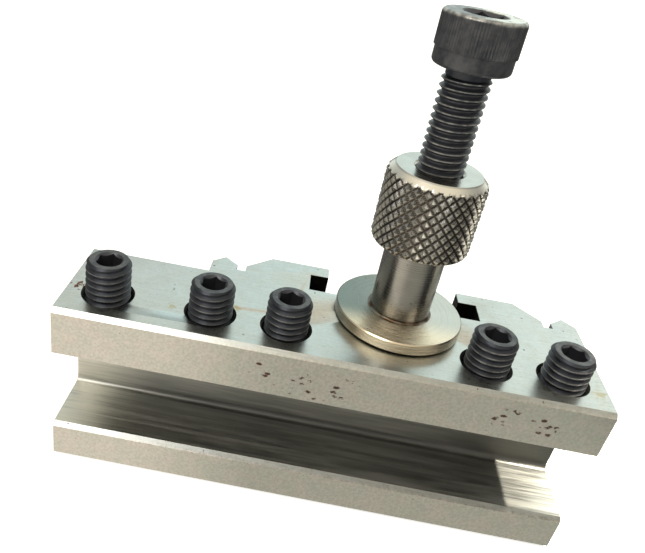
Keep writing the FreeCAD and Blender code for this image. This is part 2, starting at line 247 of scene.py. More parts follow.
def settle(piece, smooth_angle):
    """Turn a piece's modifiers into its mesh, drop them, and shade it."""
    graph = bpy.context.evaluated_depsgraph_get()
    mesh = bpy.data.meshes.new_from_object(piece.evaluated_get(graph))
    piece.modifiers.clear()
    piece.data = mesh
    mesh.name = piece.name
    mesh.shade_smooth()
    mesh.set_sharp_from_angle(angle=smooth_angle)
    return piece


def new_steel(name):
    """Start a metal finish and return it with its tree and shader."""
    finish = bpy.data.materials.new(name)
    finish.use_nodes = True
    shader = finish.node_tree.nodes["Principled BSDF"]
    shader.inputs["Metallic"].default_value = 1.0
    return finish, finish.node_tree, shader


def new_group(name, inputs, outputs):
    """Start a group of shader nodes with named sockets; return tree, inputs and output node."""
    group = bpy.data.node_groups.new(name, "ShaderNodeTree")
    for label, (kind, value) in inputs.items():
        group.interface.new_socket(label, in_out="INPUT", socket_type=kind).default_value = value
    for label, kind in outputs.items():
        group.interface.new_socket(label, in_out="OUTPUT", socket_type=kind)
    return group, node(group, "NodeGroupInput").outputs, node(group, "NodeGroupOutput")


def use_group(tree, group, values):
    """Place a group in a finish and return its outputs."""
    return node(tree, "ShaderNodeGroup", values, node_tree=group).outputs


NUMBER, VECTOR = "NodeSocketFloat", "NodeSocketVector"
# Most of a noise lies between these two values.
NOISE = (0.3, 0.7)

# Grain that runs along one way of the steel, with a slower cloud over it.
lay_group, inputs, outputs = new_group(
    "ground_grain", {"Place": (VECTOR, (0, 0, 0)), "Lay": (VECTOR, (60, 2500, 2500)),
                     "Cloud Size": (NUMBER, 0.004)},
    {"Grain": NUMBER, "Cloud": NUMBER})
laid = node(lay_group, "ShaderNodeVectorMath", {0: inputs["Place"], 1: inputs["Lay"]},
            operation="MULTIPLY")
streaks = node(lay_group, "ShaderNodeTexNoise", {"Vector": laid.outputs[0], "Scale": 1.0,
                                                 "Detail": 3.0, "Roughness": 0.6})
cloud_scale = calc(lay_group, "DIVIDE", 1.0, inputs["Cloud Size"])
cloud = node(lay_group, "ShaderNodeTexNoise", {"Vector": inputs["Place"], "Scale": cloud_scale,
                                               "Detail": 3.0})
put(lay_group, outputs.inputs["Grain"], streaks.outputs[0])
put(lay_group, outputs.inputs["Cloud"], cloud.outputs[0])

# Small ragged specks, one in some of the cells of a lattice. The pull is a noise that bends
# their outlines, and the smallest speck and the soft edge are shares of their size.
SPECK_PULL, SPECK_PULL_SCALE = 0.60, 3.5
SMALLEST_SPECK = 0.4
SPECK_EDGE = (1.0, 0.6)
speck_group, inputs, outputs = new_group(
    "specks", {"Place": (VECTOR, (0, 0, 0)), "Spacing": (NUMBER, 0.001), "Size": (NUMBER, 0.3),
               "Share": (NUMBER, 0.2)}, {"Mask": NUMBER})
speck_scale = calc(speck_group, "DIVIDE", 1.0, inputs["Spacing"])
pulled = node(speck_group, "ShaderNodeTexNoise", {
    "Vector": inputs["Place"], "Scale": calc(speck_group, "MULTIPLY", speck_scale, SPECK_PULL_SCALE),
    "Detail": 3.0})
pull = node(speck_group, "ShaderNodeVectorMath", {
    0: pulled.outputs["Color"], 1: calc(speck_group, "MULTIPLY", inputs["Spacing"], SPECK_PULL)},
    operation="MULTIPLY").outputs[0]
moved = node(speck_group, "ShaderNodeVectorMath", {0: inputs["Place"], 1: pull}, operation="ADD")
cells = node(speck_group, "ShaderNodeTexVoronoi", {"Vector": moved.outputs[0], "Scale": speck_scale})
lot = node(speck_group, "ShaderNodeSeparateColor", {0: cells.outputs["Color"]})
kept = calc(speck_group, "LESS_THAN", lot.outputs[0], inputs["Share"])
reach = calc(speck_group, "MULTIPLY", inputs["Size"],
             fade(speck_group, lot.outputs[1], 0.0, 1.0, SMALLEST_SPECK, 1.0))
dot = fade(speck_group, calc(speck_group, "DIVIDE", cells.outputs["Distance"], reach), *SPECK_EDGE)
put(speck_group, outputs.inputs["Mask"], calc(speck_group, "MULTIPLY", kept, dot))

# A soft-edged round patch about a place, broken up by noise.
PATCH_EDGE = (1.0, 0.3)
patch_group, inputs, outputs = new_group(
    "patch", {"Place": (VECTOR, (0, 0, 0)), "Middle": (VECTOR, (0, 0, 0)),
              "Radius": (NUMBER, 0.002), "Ragged": (NUMBER, 0.5)}, {"Mask": NUMBER})
apart = node(patch_group, "ShaderNodeVectorMath", {0: inputs["Place"], 1: inputs["Middle"]},
             operation="DISTANCE").outputs["Value"]
ragged = node(patch_group, "ShaderNodeTexNoise", {"Vector": inputs["Place"], "Scale": 1500.0,
                                                  "Detail": 2.0})
stretch = fade(patch_group, ragged.outputs[0], *NOISE, -1.0, 1.0)
shift = calc(patch_group, "MULTIPLY_ADD", stretch, inputs["Ragged"], 1.0)
edge = calc(patch_group, "DIVIDE", apart, calc(patch_group, "MULTIPLY", inputs["Radius"], shift))
put(patch_group, outputs.inputs["Mask"], fade(patch_group, edge, *PATCH_EDGE))

# The ground faces: cool and streaked along the bar, but even on the front with a painted warm
# reflection, and streaked across on the ends. Stains, rust and pits lie in the photo's zones.
COOL_STEEL = ((0.515, 0.525, 0.495, 1), (0.53, 0.555, 0.54, 1))
FRONT_STEEL_WITH_WARM_SHEEN = ((0.555, 0.56, 0.51, 1), (0.605, 0.57, 0.53, 1))
GROUND_ALONG, GROUND_ACROSS = (260, 3000, 3000), (3000, 200, 3000)
GROUND_CLOUD = 0.0035
GROUND_STREAKS = 0.6
GROUND_GREYS = (0.91, 1.10)
GROUND_ROUGHNESS = (0.27, 0.32)
FACE_EDGE = 0.0004

ground_steel, tree, shader = new_steel("ground_steel")
spot = node(tree, "ShaderNodeTexCoord").outputs["Object"]
where = node(tree, "ShaderNodeSeparateXYZ", {0: spot}).outputs
body_low, body_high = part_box("holder_body")
TOP, FRONT = body_high.z, body_low.y
grain = use_group(tree, lay_group, {"Place": spot, "Lay": GROUND_ALONG, "Cloud Size": GROUND_CLOUD})
mottle = node(tree, "ShaderNodeTexNoise", {"Vector": spot, "Scale": 2000.0, "Detail": 2.0}).outputs[0]
tint = node(tree, "ShaderNodeTexNoise", {"Vector": spot, "Scale": 420.0, "Detail": 3.0}).outputs[0]
on_front = fade(tree, where["Y"], FRONT + FACE_EDGE, FRONT)
streaked = calc(tree, "MULTIPLY", calc(tree, "SUBTRACT", 1.0, on_front), GROUND_STREAKS)
cross = use_group(tree, lay_group, {"Place": spot, "Lay": GROUND_ACROSS, "Cloud Size": GROUND_CLOUD})
on_end = fade(tree, calc(tree, "ABSOLUTE", where["X"]), body_high.x - FACE_EDGE, body_high.x)
change = calc(tree, "SUBTRACT", cross["Grain"], grain["Grain"])
lay = calc(tree, "MULTIPLY_ADD", change, on_end, grain["Grain"])
fine = calc(tree, "MULTIPLY_ADD", calc(tree, "SUBTRACT", lay, mottle), streaked, mottle)
shade = fade(tree, tint, *NOISE)
# On the front the steel takes a warmer, lighter colour: a painted warm reflection.
colour = blend(tree, on_front, blend(tree, shade, *COOL_STEEL), blend(tree, shade, *FRONT_STEEL_WITH_WARM_SHEEN))
grey = fade(tree, fine, *NOISE, *GROUND_GREYS)
grey = node(tree, "ShaderNodeCombineColor", {0: grey, 1: grey, 2: grey}).outputs[0]
colour = blend(tree, 1.0, colour, grey, "MULTIPLY")

STAIN_YELLOW = (0.42, 0.33, 0.15, 1)
STAIN_STRENGTH = 0.6
STAINS = [((-0.0294, -0.0081, TOP), 0.0010), ((-0.0180, -0.0050, TOP), 0.0011),
          ((0.0467, -0.0104, TOP), 0.0014)]
for middle, radius in STAINS:
    stain = use_group(tree, patch_group, {"Place": spot, "Middle": middle, "Radius": radius,
                                          "Ragged": 0.6})
    colour = blend(tree, calc(tree, "MULTIPLY", stain["Mask"], STAIN_STRENGTH), colour, STAIN_YELLOW)

PIT_BROWN = (0.105, 0.045, 0.036, 1)
PIT_STRENGTH = 0.95
PIT_STRETCH = (0.6, 1.0, 1.0)
PIT_ZONE_EDGE = (0.1, 0.5)
PIT_ZONES = [((-0.0105, FRONT, 0.0300), 0.0034), ((-0.0040, FRONT, 0.0266), 0.0042),
             ((0.0026, FRONT, 0.0288), 0.0030), ((0.0304, FRONT, 0.0302), 0.0032),
             ((0.0371, FRONT, 0.0296), 0.0036)]
pitted = 0.0
for middle, radius in PIT_ZONES:
    zone = use_group(tree, patch_group, {"Place": spot, "Middle": middle, "Radius": radius,
                                         "Ragged": 0.4})
    pitted = calc(tree, "MAXIMUM", zone["Mask"], pitted)
long_spot = node(tree, "ShaderNodeVectorMath", {0: spot, 1: PIT_STRETCH}, operation="MULTIPLY").outputs[0]
pits = use_group(tree, speck_group, {"Place": long_spot, "Spacing": 0.00092, "Size": 0.54, "Share": 0.55})
pitted = calc(tree, "MULTIPLY", pits["Mask"], fade(tree, pitted, *PIT_ZONE_EDGE))
colour = blend(tree, calc(tree, "MULTIPLY", pitted, PIT_STRENGTH), colour, PIT_BROWN)
specks = use_group(tree, speck_group, {"Place": spot, "Spacing": 0.0019, "Size": 0.13, "Share": 0.35})
colour = blend(tree, specks["Mask"], colour, PIT_BROWN)
RUST = (0.13, 0.05, 0.025, 1)
RUST_FLECKS = [((-0.0464, -0.0068, TOP), 0.0012), ((-0.0199, 0.0018, TOP), 0.0003)]
RUST_EDGE = (0.1, 0.4)
for middle, radius in RUST_FLECKS:
    fleck = use_group(tree, patch_group, {"Place": spot, "Middle": middle, "Radius": radius,
                                          "Ragged": 0.9})
    colour = blend(tree, fade(tree, fleck["Mask"], *RUST_EDGE), colour, RUST)
put(tree, shader.inputs["Base Color"], colour)
put(tree, shader.inputs["Roughness"], fade(tree, fine, *NOISE, *GROUND_ROUGHNESS))
bump = node(tree, "ShaderNodeBump", {"Height": lay, "Strength": 0.06, "Distance": 0.00002})
put(tree, shader.inputs["Normal"], bump.outputs[0])

# The channel as the cutter left it: duller, with streaks along it. Its left end has a painted
# bright reflection. Painted shade darkens the web at the right, and its lower corner but
# for the left end.
MILLED = ((0.31, 0.315, 0.30, 1), (0.47, 0.47, 0.44, 1))
LEFT_END_SHEEN_STEEL = (0.78, 0.77, 0.69, 1)
LEFT_SHEEN_END = (-0.031, -0.046)
LEFT_SHEEN_STREAKS = (0.3, 0.6, 0.2, 0.75)
WEB_SHADE = (0.13, 0.13, 0.12, 1)
WEB_SHADE_END = (0.010, 0.040)
WEB_SHADE_STRENGTH = 0.8
WEB_EDGE = (-0.0040, -0.0034)
CORNER_EDGE = (0.0098, 0.0091)
CORNER_END = (-0.040, -0.022)
CORNER_SHADE_STRENGTH = 0.9
MILLED_STREAKS = (0.35, 0.65)
MILLED_ROUGHNESS = (0.34, 0.54)

milled_steel, tree, shader = new_steel("milled_steel")
spot = node(tree, "ShaderNodeTexCoord").outputs["Object"]
grain = use_group(tree, lay_group, {"Place": spot, "Lay": (90, 2400, 2400), "Cloud Size": 0.005})
bands = use_group(tree, lay_group, {"Place": spot, "Lay": (35, 700, 700), "Cloud Size": 0.008})
streak = calc(tree, "MULTIPLY", calc(tree, "ADD", grain["Grain"], bands["Grain"]), 0.5)
where = node(tree, "ShaderNodeSeparateXYZ", {0: spot}).outputs
colour = blend(tree, fade(tree, streak, *MILLED_STREAKS), *MILLED)
# A painted bright reflection over the left end, stronger along the streaks.
painted_left_sheen = calc(tree, "MULTIPLY", fade(tree, where["X"], *LEFT_SHEEN_END),
                   fade(tree, streak, *LEFT_SHEEN_STREAKS))
colour = blend(tree, painted_left_sheen, colour, LEFT_END_SHEEN_STEEL)
# Painted shade on the web towards its right, and along its lower corner but for the left end.
painted_web_shade = calc(tree, "MULTIPLY", fade(tree, where["Y"], *WEB_EDGE), fade(tree, where["X"], *WEB_SHADE_END))
painted_corner_shade = calc(tree, "MULTIPLY", fade(tree, where["Y"], *WEB_EDGE), fade(tree, where["Z"], *CORNER_EDGE))
painted_corner_shade = calc(tree, "MULTIPLY", painted_corner_shade,
                 fade(tree, where["X"], *CORNER_END, 0.0, CORNER_SHADE_STRENGTH))
painted_web_shade = calc(tree, "MAXIMUM", painted_web_shade, painted_corner_shade)
colour = blend(tree, calc(tree, "MULTIPLY", painted_web_shade, WEB_SHADE_STRENGTH), colour, WEB_SHADE)
put(tree, shader.inputs["Base Color"], colour)
put(tree, shader.inputs["Roughness"], fade(tree, streak, *MILLED_STREAKS, *MILLED_ROUGHNESS))
bump = node(tree, "ShaderNodeBump", {"Height": grain["Grain"], "Strength": 0.12, "Distance": 0.00003})
put(tree, shader.inputs["Normal"], bump.outputs[0])

# Old oil, dirt and painted shade in the screw holes, their countersinks and the T slot.
OIL_AND_SHADE = ((0.018, 0.018, 0.018, 1), (0.056, 0.052, 0.045, 1))
OILY_ROUGHNESS = (0.40, 0.60)

oil_and_shade_steel, tree, shader = new_steel("oil_and_shade_steel")
spot = node(tree, "ShaderNodeTexCoord").outputs["Object"]
grain = use_group(tree, lay_group, {"Place": spot, "Lay": (1200, 1200, 1200), "Cloud Size": 0.002})
put(tree, shader.inputs["Base Color"], blend(tree, grain["Cloud"], *OIL_AND_SHADE))
put(tree, shader.inputs["Roughness"], fade(tree, grain["Grain"], *NOISE, *OILY_ROUGHNESS))

form = bmesh.new()
form.from_mesh(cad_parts["holder_body"].data)
bmesh.ops.remove_doubles(form, verts=form.verts, dist=MERGE)
bmesh.ops.dissolve_limit(form, angle_limit=FLAT_ANGLE, verts=form.verts, edges=form.edges,
                         delimit={"NORMAL"})
body_mesh = bpy.data.meshes.new("tool_holder_body")
form.to_mesh(body_mesh)
form.free()
body = new_piece("tool_holder_body", body_mesh)
bevel = body.modifiers.new("edge_break", "BEVEL")
bevel.width = EDGE_BREAK
bevel.segments = 2
bevel.limit_method = "ANGLE"
bevel.angle_limit = SQUARE_EDGE
settle(body, BODY_SMOOTH)
body.data.materials.clear()
for finish in (ground_steel, milled_steel, oil_and_shade_steel):
    body.data.materials.append(finish)

# The channel's faces get the milled finish, the walls of the holes and the slot the one of
# oil and painted shade.
CHANNEL_FLOOR = 0.0082
CHANNEL_TOP = 0.0249
CHANNEL_BACK = -0.0024
HOLE_REACH = 0.0050
SLOT_LOW = Vector((-0.0056, 0.0060))
SLOT_HIGH = Vector((0.0286, 0.0153))
NEAR = 0.0001
JAW_FRONT = 0.001
# From these shares of Z and X in its normal on, a face is level, or an end.
LEVEL = 0.9
ENDWAYS = 0.5
hole_axes = []
for name in [f"clamping_screw_{number}" for number in range(1, 6)] + ["cap_screw"]:
    low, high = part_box(name)
    hole_axes.append(((low + high) / 2).to_2d())
for face in body.data.polygons:
    spot = face.center
    flat = spot.to_2d()
    is_wall = abs(face.normal.z) < LEVEL
    in_hole = (min((flat - axis).length for axis in hole_axes) < HOLE_REACH
               and FRONT + JAW_FRONT < flat.y)
    in_slot = SLOT_LOW.x < flat.x < SLOT_HIGH.x and SLOT_LOW.y < flat.y < SLOT_HIGH.y
    in_channel = (CHANNEL_FLOOR - NEAR < spot.z < CHANNEL_TOP + NEAR
                  and FRONT + 2 * NEAR < flat.y < CHANNEL_BACK + NEAR
                  and abs(face.normal.x) < ENDWAYS)
    if in_channel:
        face.material_index = 1
    elif is_wall and (in_hole or in_slot):
        face.material_index = 2
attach(body, "holder")
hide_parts("holder_body")


# Clamping screws. Five M8 socket set screws in black oxide, screwed down through the
# upper jaw; the crests of their rolled threads are rubbed back to bare metal.
THREAD_PITCH = 0.00125
THREAD_DEPTH = 0.00060
THREAD_COLUMNS = 64
THREAD_STEPS = 8
THREAD_SMOOTH = math.radians(45)
SCREW_KEY = 0.004
SCREW_KEY_DEPTH = 0.004
SCREW_LEAD = 0.0006
# How far each screw's crests are rubbed bare; the extra on screws 4 and 5 is a painted highlight.
SCREW_WEAR_AND_SHEEN = (0.16, 0.16, 0.19, 0.30, 0.32)
SCREW_TOP_RUB = 0.11
SCREW_POINT_LEAD = 0.0012
# Below zero between the crests, so that the rubbed line along each crest stays thin.
CREST_BLACK = -0.36
OXIDE_METAL = 0.68
CREST_BAND = THREAD_DEPTH * 0.1
WELD = 0.000001
# How far the zigzag of the thread is steepened, so that its crest and root are flat.
FLANK_GAIN, FLANK_SHIFT = 1.3333, -0.1667
# The countersink's radius over the socket's corners, and its half height over that radius.
SINK_WIDTH = 1.06
SINK_REACH = 0.6
KEY_SLACK = 1.01

SOCKET_KINDS = {int: "NodeSocketInt", float: "NodeSocketFloat", Vector: "NodeSocketVector",
                bpy.types.Material: "NodeSocketMaterial"}


def new_tree(name, sizes):
    """Start a Geometry Nodes tree with a mesh in and out and named sizes; return its ends."""
    tree = bpy.data.node_groups.new(name, "GeometryNodeTree")
    tree.is_modifier = True
    tree.interface.new_socket("Mesh", in_out="INPUT", socket_type="NodeSocketGeometry")
    tree.interface.new_socket("Mesh", in_out="OUTPUT", socket_type="NodeSocketGeometry")
    for label, value in sizes.items():
        kind = SOCKET_KINDS[type(value)]
        socket = tree.interface.new_socket(label, in_out="INPUT", socket_type=kind)
        if kind != "NodeSocketMaterial":
            socket.default_value = value
    return tree, node(tree, "NodeGroupInput").outputs, node(tree, "NodeGroupOutput")


def run_tree(piece, tree, sizes):
    """Put a tree on a piece with its own sizes."""
    modifier = piece.modifiers.new(tree.name, "NODES")
    modifier.node_group = tree
    for socket in tree.interface.items_tree:
        if socket.in_out == "INPUT" and socket.name in sizes:
            modifier[socket.identifier] = sizes[socket.name]


def end_tree(tree, inputs, outputs, mesh):
    """Set a tree's result in its place and give it its finish."""
    moved = node(tree, "GeometryNodeTransform", {"Geometry": mesh, "Translation": inputs["Place"]})
    real = node(tree, "GeometryNodeRealizeInstances", {"Geometry": moved.outputs[0]})
    done = node(tree, "GeometryNodeSetMaterial", {"Geometry": real.outputs[0],
                                                  "Material": inputs["Finish"]})
    put(tree, outputs.inputs["Mesh"], done.outputs[0])


def polar(tree):
    """Return the radius, angle and height of each point."""
    point = node(tree, "GeometryNodeInputPosition").outputs[0]
    axes = node(tree, "ShaderNodeSeparateXYZ", {0: point}).outputs
    flat = node(tree, "ShaderNodeCombineXYZ", {"X": axes["X"], "Y": axes["Y"]}).outputs[0]
    radius = node(tree, "ShaderNodeVectorMath", {0: flat}, operation="LENGTH").outputs["Value"]
    return radius, calc(tree, "ARCTAN2", axes["Y"], axes["X"]), axes["Z"]


def round_point(tree, radius, angle, height):
    """Combine a radius, an angle and a height into a place."""
    across = calc(tree, "MULTIPLY", radius, calc(tree, "COSINE", angle))
    back = calc(tree, "MULTIPLY", radius, calc(tree, "SINE", angle))
    return node(tree, "ShaderNodeCombineXYZ", {"X": across, "Y": back, "Z": height}).outputs[0]


def keep_number(tree, mesh, name, value):
    """Store a number on each point, for the finish to read."""
    kept = node(tree, "GeometryNodeStoreNamedAttribute", {"Geometry": mesh, "Name": name,
                                                          "Value": value})
    return kept.outputs[0]


def in_socket(tree, radius, height, key):
    """Tell the points inside a hexagonal socket from those outside it."""
    inside = calc(tree, "LESS_THAN", radius, key / math.sqrt(3) * KEY_SLACK)
    return calc(tree, "MULTIPLY", inside, calc(tree, "LESS_THAN", height, -WELD))


# A right-hand thread from a sheared sheet of points, closed at both ends by discs.
# Its top is at height 0, and both ends run down to a smaller circle.
rod_tree, inputs, outputs = new_tree("rolled_thread", {
    "Length": 0.016, "Radius": 0.00395, "Depth": THREAD_DEPTH, "Pitch": THREAD_PITCH, "Turns": 16,
    "Columns": THREAD_COLUMNS, "Steps": THREAD_STEPS, "Top Lead": SCREW_LEAD,
    "Point Lead": SCREW_POINT_LEAD})
rows = calc(rod_tree, "MULTIPLY", inputs["Turns"], inputs["Steps"])
sheet = node(rod_tree, "GeometryNodeMeshGrid", {
    "Size X": 1.0, "Size Y": 1.0, "Vertices X": calc(rod_tree, "ADD", inputs["Columns"], 1.0),
    "Vertices Y": calc(rod_tree, "ADD", rows, 1.0)})
flat_axes = node(rod_tree, "ShaderNodeSeparateXYZ",
                 {0: node(rod_tree, "GeometryNodeInputPosition").outputs[0]}).outputs
around = calc(rod_tree, "ADD", flat_axes["X"], 0.5)
turns = calc(rod_tree, "MULTIPLY", calc(rod_tree, "ADD", flat_axes["Y"], 0.5), inputs["Turns"])
climb = calc(rod_tree, "MULTIPLY", calc(rod_tree, "ADD", around, turns), inputs["Pitch"])
bottom = calc(rod_tree, "MULTIPLY", inputs["Length"], -1.0)
height = calc(rod_tree, "SUBTRACT", climb, calc(rod_tree, "ADD", inputs["Length"], inputs["Pitch"]))
height = calc(rod_tree, "MINIMUM", calc(rod_tree, "MAXIMUM", height, bottom), 0.0)
half_step = calc(rod_tree, "DIVIDE", 0.5, inputs["Steps"])
part_turn = calc(rod_tree, "FRACT", calc(rod_tree, "ADD", turns, half_step))
zigzag = calc(rod_tree, "ABSOLUTE", calc(rod_tree, "MULTIPLY_ADD", part_turn, 2.0, -1.0))
ridge = node(rod_tree, "ShaderNodeClamp", {
    "Value": calc(rod_tree, "MULTIPLY_ADD", zigzag, FLANK_GAIN, FLANK_SHIFT)})
groove = calc(rod_tree, "SUBTRACT", 1.0, ridge.outputs[0])
radius = calc(rod_tree, "SUBTRACT", inputs["Radius"], calc(rod_tree, "MULTIPLY", groove, inputs["Depth"]))
top_radius = calc(rod_tree, "SUBTRACT", inputs["Radius"], inputs["Top Lead"])
point_radius = calc(rod_tree, "SUBTRACT", inputs["Radius"], inputs["Point Lead"])
radius = calc(rod_tree, "MINIMUM", radius, calc(rod_tree, "SUBTRACT", top_radius, height))
from_point = calc(rod_tree, "SUBTRACT", height, bottom)
radius = calc(rod_tree, "MINIMUM", radius, calc(rod_tree, "ADD", point_radius, from_point))
angle = calc(rod_tree, "MULTIPLY", around, math.tau)
rolled = node(rod_tree, "GeometryNodeSetPosition", {
    "Geometry": sheet.outputs[0], "Position": round_point(rod_tree, radius, angle, height)})
top_disc = node(rod_tree, "GeometryNodeMeshCircle", {"Vertices": inputs["Columns"], "Radius": top_radius},
                fill_type="NGON")
point_disc = node(rod_tree, "GeometryNodeMeshCircle", {"Vertices": inputs["Columns"],
                                                       "Radius": point_radius}, fill_type="NGON")
point_place = node(rod_tree, "ShaderNodeCombineXYZ", {"Z": bottom}).outputs[0]
point_set = node(rod_tree, "GeometryNodeTransform", {"Geometry": point_disc.outputs[0],
                                                     "Translation": point_place})
point_down = node(rod_tree, "GeometryNodeFlipFaces", {"Mesh": point_set.outputs[0]})
closed = node(rod_tree, "GeometryNodeJoinGeometry")
for part in (rolled, top_disc, point_down):
    rod_tree.links.new(part.outputs[0], closed.inputs[0])
welded = node(rod_tree, "GeometryNodeMergeByDistance", {"Geometry": closed.outputs[0],
                                                        "Distance": WELD})
put(rod_tree, outputs.inputs["Mesh"], welded.outputs[0])

# A hexagonal socket with a small countersink, cut down from height 0 into a closed mesh.
socket_tree, inputs, outputs = new_tree("hexagon_socket", {"Key": SCREW_KEY, "Depth": SCREW_KEY_DEPTH})
corner = calc(socket_tree, "MULTIPLY", inputs["Key"], 1 / math.sqrt(3))
prism = node(socket_tree, "GeometryNodeMeshCylinder", {
    "Vertices": 6, "Radius": corner, "Depth": calc(socket_tree, "MULTIPLY", inputs["Depth"], 2.0)})
turned_prism = node(socket_tree, "GeometryNodeTransform", {"Geometry": prism.outputs[0],
                                                           "Rotation": (0, 0, math.radians(30))})
sink_radius = calc(socket_tree, "MULTIPLY", corner, SINK_WIDTH)
sink = node(socket_tree, "GeometryNodeMeshCone", {
    "Vertices": 48, "Radius Top": calc(socket_tree, "MULTIPLY", sink_radius, 1 + SINK_REACH),
    "Radius Bottom": calc(socket_tree, "MULTIPLY", sink_radius, 1 - SINK_REACH),
    "Depth": calc(socket_tree, "MULTIPLY", sink_radius, 2 * SINK_REACH)})
sink_set = node(socket_tree, "GeometryNodeTransform", {
    "Geometry": sink.outputs[0], "Translation": node(socket_tree, "ShaderNodeCombineXYZ", {
        "Z": calc(socket_tree, "MULTIPLY", sink_radius, -SINK_REACH)}).outputs[0]})
cut = inputs["Mesh"]
for tool in (turned_prism, sink_set):
    cut = node(socket_tree, "GeometryNodeMeshBoolean", {"Mesh 1": cut, "Mesh 2": tool.outputs[0]},
               operation="DIFFERENCE", solver="EXACT").outputs[0]
put(socket_tree, outputs.inputs["Mesh"], cut)

screw_tree, inputs, outputs = new_tree("clamping_screw", {
    "Length": 0.016, "Radius": 0.00395, "Wear And Sheen": SCREW_WEAR_AND_SHEEN[0], "Place": Vector(),
    "Finish": ground_steel})
rod = node(screw_tree, "GeometryNodeGroup", node_tree=rod_tree)
put(screw_tree, rod.inputs["Length"], inputs["Length"])
put(screw_tree, rod.inputs["Radius"], inputs["Radius"])
socketed = node(screw_tree, "GeometryNodeGroup", node_tree=socket_tree)
put(screw_tree, socketed.inputs["Mesh"], rod.outputs["Mesh"])
radius, angle, height = polar(screw_tree)
crest = fade(screw_tree, calc(screw_tree, "SUBTRACT", inputs["Radius"], radius), CREST_BAND, 0.0,
             CREST_BLACK, inputs["Wear And Sheen"])
on_top = calc(screw_tree, "GREATER_THAN", height, -WELD)
worn = calc(screw_tree, "MULTIPLY_ADD", on_top, SCREW_TOP_RUB - CREST_BLACK, crest)
marked = keep_number(screw_tree, socketed.outputs["Mesh"], "crest", worn)
marked = keep_number(screw_tree, marked, "socket", in_socket(screw_tree, radius, height, SCREW_KEY))
end_tree(screw_tree, inputs, outputs, marked)

# Black oxide. Where a piece's "crest" number is above zero the steel shows through, less
# in some places than in others, and its sockets are filmed with oil.
OXIDE = ((0.025, 0.028, 0.036, 1), (0.052, 0.057, 0.069, 1))
OXIDE_ROUGHNESS = (0.32, 0.45)
RUBBED = (0.76, 0.75, 0.70, 1)
RUBBED_CLOUD = (0.35, 0.65, 0.35, 1.0)
SOCKET_OIL = (0.072, 0.075, 0.088, 1)
SOCKET_EDGE = (0.02, 0.30)

black_oxide, tree, shader = new_steel("black_oxide")
shader.inputs["Metallic"].default_value = OXIDE_METAL
spot = node(tree, "ShaderNodeTexCoord").outputs["Object"]
worn = node(tree, "ShaderNodeAttribute", attribute_name="crest").outputs["Fac"]
grain = use_group(tree, lay_group, {"Place": spot, "Lay": (900, 900, 900), "Cloud Size": 0.0011})
coat = blend(tree, grain["Grain"], *OXIDE)
rubbed = calc(tree, "MULTIPLY", worn, fade(tree, grain["Cloud"], *RUBBED_CLOUD))
deep = node(tree, "ShaderNodeAttribute", attribute_name="socket").outputs["Fac"]
coat = blend(tree, rubbed, coat, RUBBED)
put(tree, shader.inputs["Base Color"], blend(tree, fade(tree, deep, *SOCKET_EDGE), coat, SOCKET_OIL))
put(tree, shader.inputs["Roughness"], fade(tree, grain["Grain"], *NOISE, *OXIDE_ROUGHNESS))

for number in range(1, 6):
    low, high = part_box(f"clamping_screw_{number}")
    screw = new_piece(f"set_screw_{number}", bpy.data.meshes.new("set_screw"))
    run_tree(screw, screw_tree, {
        "Length": high.z - low.z, "Radius": (high.x - low.x) / 2, "Wear And Sheen": SCREW_WEAR_AND_SHEEN[number - 1],
        "Finish": black_oxide,
        "Place": Vector(((low.x + high.x) / 2, (low.y + high.y) / 2, high.z))})
    settle(screw, THREAD_SMOOTH)
    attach(screw, f"screw_{number}")
    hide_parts(f"clamping_screw_{number}")


# Cap screw. One M8 socket head screw in black oxide, screwed home in the jaw. A short neck
# is left plain under the head, and the head's upper part has a fine straight knurl.
HEAD_HEIGHT = 0.008
HEAD_RADIUS = 0.00645
HEAD_BAND_RADIUS = 0.0062
HEAD_BAND_TOP = 0.0026
HEAD_TOP_ROUND = 0.0007
HEAD_FOOT_ROUND = 0.0007
HEAD_COLUMNS = 336
HEAD_TEETH = 84
HEAD_TOOTH_DEPTH = 0.00009
HEAD_KEY = 0.006
HEAD_KEY_DEPTH = 0.0045
NECK_RADIUS = 0.00355
NECK_LENGTH = 0.0013
NECK_FILLET = 0.0004
THREAD_START = 0.0009
ROD_TURNS = 47
KNURL_FOOT = (0.0001, 0.0003)
KNURL_HEAD = (0.0002, 0.0008)
ROD_RUB = 0.36
HEAD_RUB = 0.062
RIM_RUB = 0.6
# How far the top is rubbed at its -X side and at its +X side, where the much larger share is
# partly a painted highlight, and the cosines of the angle between which the one changes to
# the other.
HEAD_TOP_RUB_AND_SHEEN = (0.25, 1.6)
HEAD_TOP_SHEEN_SIDES = (-0.6, 0.7)
CAP_SCREW_SMOOTH = math.radians(45)


def arc(radius, height, bend, first, last, steps=6):
    """Points of a round corner about a middle, as radius and height pairs."""
    points = []
    for step in range(steps + 1):
        angle = math.radians(first + (last - first) * step / steps)
        points.append((radius + bend * math.cos(angle), height + bend * math.sin(angle)))
    return points


def lathe(name, profile, columns, closed=False):
    """Turn a profile round the Z axis; it runs outwards, up and back in."""
    points, rings, faces = [], [], []
    for radius, height in profile:
        start = len(points)
        if radius == 0:
            points.append((0, 0, height))
            rings.append([start] * (columns + 1))
            continue
        for column in range(columns):
            angle = math.tau * column / columns
            points.append((radius * math.cos(angle), radius * math.sin(angle), height))
        rings.append([start + column % columns for column in range(columns + 1)])
    for lower, upper in zip(rings, rings[1:] + rings[:1] if closed else rings[1:]):
        for column in range(columns):
            corners = [lower[column], lower[column + 1], upper[column + 1], upper[column]]
            faces.append(list(dict.fromkeys(corners)))
    mesh = bpy.data.meshes.new(name)
    mesh.from_pydata(points, [], faces)
    return new_piece(name, mesh)


